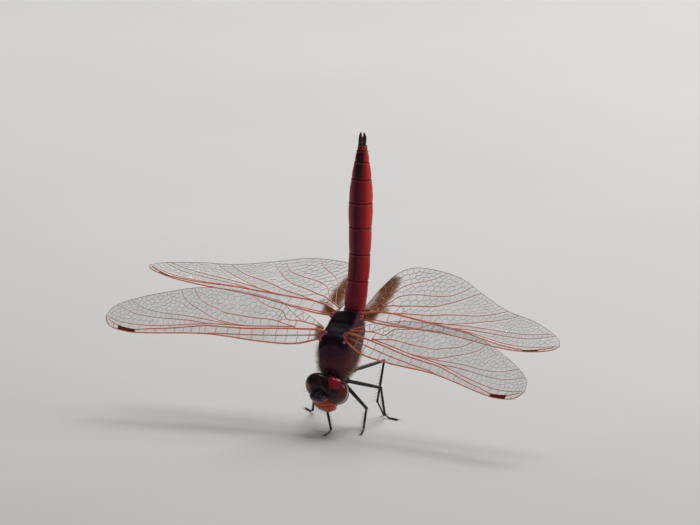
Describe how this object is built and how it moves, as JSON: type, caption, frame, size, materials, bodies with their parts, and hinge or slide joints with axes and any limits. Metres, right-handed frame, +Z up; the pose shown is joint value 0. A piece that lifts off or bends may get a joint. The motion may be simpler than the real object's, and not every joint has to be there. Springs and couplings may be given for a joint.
{
  "type": "dragonfly",
  "caption": "Life-size still model of a male violet dropwing dragonfly standing head down, abdomen raised straight up and wings swept forward.",
  "frame": {"origin": "centre of the bounding box, at the floor", "axes": "+Z up; the model is seen from the -Y side, which faces its back; +X to the viewer's right"},
  "size_m": [0.0568, 0.04, 0.0368],
  "materials": {
    "eye_red": "glossy compound eye, dark red above and grey violet below",
    "head_violet": "polished metallic violet shell",
    "face_orange": "satin orange red shell",
    "thorax_violet": "dull maroon violet shell with a pale bloom and short hair",
    "abdomen_crimson": "satin crimson shell plates with a dark line along the back",
    "leg_black": "satin black shell",
    "wing_membrane": "clear wing film over coral red veins"
  },
  "bodies": {
    "root": {"head_capsule": "head_violet", "eye_left": "eye_red", "eye_right": "eye_red", "frons": "head_violet", "face": "face_orange", "labium": "face_orange", "antenna_left": "leg_black", "antenna_right": "leg_black", "neck": "thorax_violet", "prothorax": "thorax_violet", "synthorax": "thorax_violet", "abdomen_segment_01": "abdomen_crimson", "abdomen_segment_02": "abdomen_crimson", "abdomen_segment_03": "abdomen_crimson", "abdomen_segment_04": "abdomen_crimson", "abdomen_segment_05": "abdomen_crimson", "abdomen_segment_06": "abdomen_crimson", "abdomen_segment_07": "abdomen_crimson", "abdomen_segment_08": "abdomen_crimson", "abdomen_segment_09": "abdomen_crimson", "abdomen_segment_10": "abdomen_crimson", "cercus_left": "leg_black", "cercus_right": "leg_black", "epiproct": "abdomen_crimson", "forewing_left": "wing_membrane", "forewing_right": "wing_membrane", "hindwing_left": "wing_membrane", "hindwing_right": "wing_membrane", "leg_fore_left_coxa": "leg_black", "leg_fore_left_femur": "leg_black", "leg_fore_left_tibia": "leg_black", "leg_fore_left_tarsus": "leg_black", "leg_fore_right_coxa": "leg_black", "leg_fore_right_femur": "leg_black", "leg_fore_right_tibia": "leg_black", "leg_fore_right_tarsus": "leg_black", "leg_mid_left_coxa": "leg_black", "leg_mid_left_femur": "leg_black", "leg_mid_left_tibia": "leg_black", "leg_mid_left_tarsus": "leg_black", "leg_mid_right_coxa": "leg_black", "leg_mid_right_femur": "leg_black", "leg_mid_right_tibia": "leg_black", "leg_mid_right_tarsus": "leg_black", "leg_hind_left_coxa": "leg_black", "leg_hind_left_femur": "leg_black", "leg_hind_left_tibia": "leg_black", "leg_hind_left_tarsus": "leg_black", "leg_hind_right_coxa": "leg_black", "leg_hind_right_femur": "leg_black", "leg_hind_right_tibia": "leg_black", "leg_hind_right_tarsus": "leg_black"}
  },
  "joints": []
}
